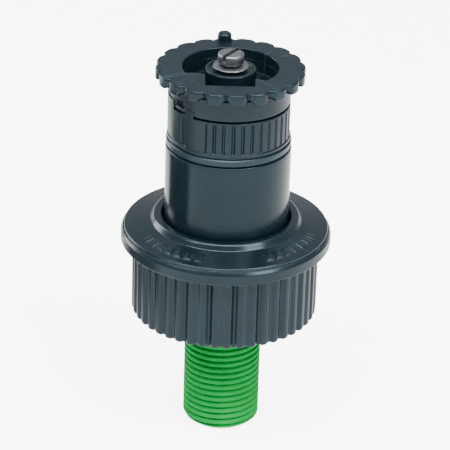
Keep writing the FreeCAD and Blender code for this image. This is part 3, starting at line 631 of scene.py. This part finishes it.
def deflector():
    bottom, _ = level("deflector_disc")
    disc_bottom, disc_top, floor = 102.1, 105.1, 99.1
    cup, hub, rim = 14.05, 3.7, 19.85
    step_height = 102.3

    def section(angle):
        share = from_lobe(angle)
        edge = rim - LOBE_SINK * share ** 3
        flute = 1.15 * math.sqrt(max(0.0, 1 - ((1 - share) / 0.5) ** 2))
        under = disc_bottom + flute
        well = well_reach(angle)
        low_well = min(well, WELL_RADIUS)
        return rounded([
            (hub, bottom, 0.1, 3), (cup, bottom, 0.4, 2), (cup, disc_bottom - 0.02, 0.1, 1),
            (cup + 0.8, under, 0.3, 3), (edge, under, 0.35, 2), (edge, disc_top, 0.55, 8),
            (well + 0.04, disc_top, 0.3, 2), (well + 0.04, step_height, 0.1, 1),
            (low_well, step_height - 0.05, 0.1, 3), (low_well, floor, 0.4, 6), (hub, floor, 0.1, 1)])

    angles = set(even_turn(900))
    for start, end in ((203.0, 210.0), (219.0, 223.0), (308.0, 317.0)):
        steps = int((end - start) / 0.1)
        angles |= {math.radians(start + 0.1 * step) for step in range(steps)}
    piece = swept("lobed_deflector", section, sorted(angles))
    finish_with(piece, "deflector", "black_plastic", "deflector_disc")
    nub_top = level("deflector_disc")[1]
    nub = lathe("index_nub", [(0.05, disc_top - 0.6, 0.01, 1), (2.0, disc_top - 0.6, 0.1, 3),
                              (1.85, nub_top, 0.95, 3), (0.05, nub_top, 0.01, 1)], turns=64, arc_steps=8)
    turn = math.radians(FIRST_LOBE)
    place = Vector((math.cos(turn), math.sin(turn), 0.0)) * 18.0 * MM
    nub.data.transform(Matrix.Translation(place))
    finish_with(nub, "deflector", "black_plastic", "deflector_disc")


def boss():
    """The brake housing: a ring with a sunk lid round the screw."""
    bottom, top = level("brake_housing")
    outer = reach("brake_housing")
    chamber, lid_bore = 5.2, 2.76
    piece = lathe("boss_ring", [
        (chamber, bottom, 0.1, 1), (outer, bottom, 0.3, 2), (outer, top, 0.4, 1), (outer - 1.0, top, 0.35, 1),
        (outer - 1.0, top - 0.55, 0.2, 4), (lid_bore, top - 0.55, 0.1, 1), (lid_bore, top - 1.0, 0.1, 3),
        (chamber, top - 1.0, 0.1, 2)], turns=192)
    return finish_with(piece, "deflector", "black_plastic", "brake_housing")


# ---------------------------------------------------------------- screw

SHANK_RADIUS = 2.0
HEAD_BOTTOM = 106.2
SLOT_WIDTH, SLOT_DEPTH, SLOT_ANGLE = 1.1, 1.5, 58.0


def slot_cutter(top, head):
    """A long block, turned to the slot's angle, that the screw's slot is cut with."""
    bm = bmesh.new()
    bmesh.ops.create_cube(bm, size=1.0)
    length, width = 2 * head + 2.0, SLOT_WIDTH
    height = SLOT_DEPTH + 1.0
    turn = Quaternion((0, 0, 1), math.radians(SLOT_ANGLE))
    middle = Vector((0, 0, (top - SLOT_DEPTH + height / 2) * MM))
    for vert in bm.verts:
        sized = Vector((vert.co.x * length, vert.co.y * width, vert.co.z * height)) * MM
        vert.co = turn @ sized + middle
    mesh = bpy.data.meshes.new("slot_cutter")
    bm.to_mesh(mesh)
    bm.free()
    obj = bpy.data.objects.new("slot_cutter", mesh)
    bpy.context.scene.collection.objects.link(obj)
    return obj


def radius_screw():
    bottom, top = level("radius_screw")
    head = reach("radius_screw")
    piece = lathe("slotted_screw", [
        (0.02, bottom, 0.005, 1), (SHANK_RADIUS - 0.35, bottom, 0.1, 1),
        (SHANK_RADIUS, bottom + 0.5, 0.1, 20), (SHANK_RADIUS, HEAD_BOTTOM, 0.1, 1),
        (head, HEAD_BOTTOM, 0.35, 1), (head, top, 0.5, 3), (0.02, top, 0.005, 4)], turns=128, arc_steps=8)
    cutter = slot_cutter(top, head)
    boolean = piece.modifiers.new("slot", "BOOLEAN")
    boolean.operation = "DIFFERENCE"
    boolean.solver = "EXACT"
    boolean.object = cutter
    graph = bpy.context.evaluated_depsgraph_get()
    slotted = bpy.data.meshes.new_from_object(piece.evaluated_get(graph))
    piece.modifiers.clear()
    piece.data = slotted
    bpy.data.objects.remove(cutter)
    bevel = piece.modifiers.new("softened", "BEVEL")
    bevel.width = 0.09 * MM
    bevel.segments = 2
    bevel.limit_method = "ANGLE"
    bevel.angle_limit = math.radians(38)
    bevel.harden_normals = True
    return finish_with(piece, "screw", "stainless_steel", "radius_screw")


def washer():
    bottom, top = level("screw_washer")
    outer = reach("screw_washer")
    piece = lathe("dished_washer", [
        (SHANK_RADIUS, bottom + 0.25, 0.05, 1), (outer, bottom, 0.12, 1), (outer, bottom + 0.35, 0.15, 4),
        (SHANK_RADIUS + 1, top, 0.2, 1), (SHANK_RADIUS, top, 0.05, 1)], turns=128)
    return finish_with(piece, "screw", "stainless_steel", "screw_washer")


# ---------------------------------------------------------------- build

def finish_cad_nodes():
    """Every CAD node keeps its shape and takes the finish of its slot."""
    slots = {part["node"]: part["material_slot"] for part in frame["record"]["subparts"]}
    for name, node in frame["nodes"].items():
        for place in node.material_slots:
            place.material = MATERIALS[slots[name]]


finish_cad_nodes()
inlet_nipple()
cap_shell()
riser_tube()
neck_ring()
arc_collar()
deflector()
boss()
radius_screw()
washer()


# ---------------------------------------------------------------- floor, lights, camera

CAMERA_HEIGHT_ANGLE = 26.5
CAMERA_DISTANCE = 0.694
LENS = 205.4
AIM_HEIGHT = 0.0585
# The floor's glow as the camera sees it, and as it lights the part.
FLOOR_SEEN = 6.0
FLOOR_GLOW = 0.45
LEAN = 1.74
AIM_ASIDE = -0.00025
# The dark card's edges, in degrees from the front round to the left.
CARD_FRONT, CARD_BACK = 71.0, 128.0


def floor():
    side = 3.0
    mesh = bpy.data.meshes.new("pale_floor")
    corners = [(-side, -side, 0), (side, -side, 0), (side, side, 0), (-side, side, 0)]
    mesh.from_pydata(corners, [], [(0, 1, 2, 3)])
    obj = bpy.data.objects.new("pale_floor", mesh)
    obj.location.z = cad_low[2] - 0.0002
    bpy.context.scene.collection.objects.link(obj)
    n = Nodes("pale_floor")
    shade = n.noise(3.0, detail=2.0)
    pale = n.ramp(shade, [(0.3, (0.86, 0.86, 0.86)), (0.7, (0.90, 0.90, 0.90))])
    n.link(pale, n.shader.inputs["Base Color"])
    n.shader.inputs["Roughness"].default_value = 0.9
    n.shader.inputs["Emission Color"].default_value = (1.0, 1.0, 1.0, 1.0)
    seen = n.add("ShaderNodeLightPath").outputs["Is Camera Ray"]
    n.link(n.span(seen, 0.0, 1.0, FLOOR_GLOW, FLOOR_SEEN), n.shader.inputs["Emission Strength"])
    mesh.materials.append(n.material)


def panel_light(name, place, aim, width, height, power, tint=(1, 1, 1)):
    light = bpy.data.lights.new(name, "AREA")
    light.shape = "RECTANGLE"
    light.size, light.size_y = width, height
    light.energy = power
    light.color = tint
    obj = bpy.data.objects.new(name, light)
    obj.location = place
    obj.rotation_mode = "QUATERNION"
    obj.rotation_quaternion = (Vector(aim) - Vector(place)).to_track_quat("-Z", "Y")
    bpy.context.scene.collection.objects.link(obj)


def dark_card():
    """A dark card on the floor left of the part, seen only as a reflection in the part's left side."""
    mesh = bpy.data.meshes.new("dark_card")
    corners = []
    for turn, radius in ((CARD_FRONT, 0.10), (CARD_FRONT, 0.30), (CARD_BACK, 0.30), (CARD_BACK, 0.10)):
        angle = math.radians(turn)
        corners.append((-radius * math.sin(angle), -radius * math.cos(angle), 0))
    mesh.from_pydata(corners, [], [(0, 1, 2, 3)])
    obj = bpy.data.objects.new("dark_card", mesh)
    obj.visible_camera = False
    obj.location.z = cad_low[2] + 0.0005
    bpy.context.scene.collection.objects.link(obj)
    n = Nodes("dark_card")
    n.link(n.ramp(n.noise(20.0), [(0.3, (0.010, 0.014, 0.018)), (0.7, (0.014, 0.019, 0.024))]),
           n.shader.inputs["Base Color"])
    n.shader.inputs["Roughness"].default_value = 0.9
    mesh.materials.append(n.material)


def lights():
    middle = (0, 0, 0.06)
    panel_light("key_right", (0.55, -0.55, 0.60), middle, 0.40, 0.40, 4.5)
    panel_light("top", (0.0, 0.10, 0.95), middle, 0.90, 0.90, 8.0)
    panel_light("rim_left", (-0.60, 0.35, 0.20), middle, 0.25, 0.60, 4.0)
    panel_light("edge_strip", (0.0, -0.38, 0.75), middle, 1.50, 0.06, 20.0)
    world = bpy.data.worlds.new("studio")
    world.use_nodes = True
    world.node_tree.nodes["Background"].inputs["Color"].default_value = (0.93, 0.97, 1.0, 1.0)
    world.node_tree.nodes["Background"].inputs["Strength"].default_value = 0.6
    bpy.context.scene.world = world


def camera():
    data = bpy.data.cameras.new("camera")
    data.lens = LENS
    data.sensor_width = 36.0
    data.clip_start = 0.01
    obj = bpy.data.objects.new("camera", data)
    tilt = math.radians(CAMERA_HEIGHT_ANGLE)
    aim = Vector((AIM_ASIDE, 0, AIM_HEIGHT))
    obj.location = aim + Vector((0, -math.cos(tilt), math.sin(tilt))) * CAMERA_DISTANCE
    look = (aim - obj.location).to_track_quat("-Z", "Y")
    obj.rotation_mode = "QUATERNION"
    obj.rotation_quaternion = look @ Quaternion((0, 0, 1), math.radians(LEAN))
    bpy.context.scene.collection.objects.link(obj)
    bpy.context.scene.camera = obj


floor()
dark_card()
lights()
camera()
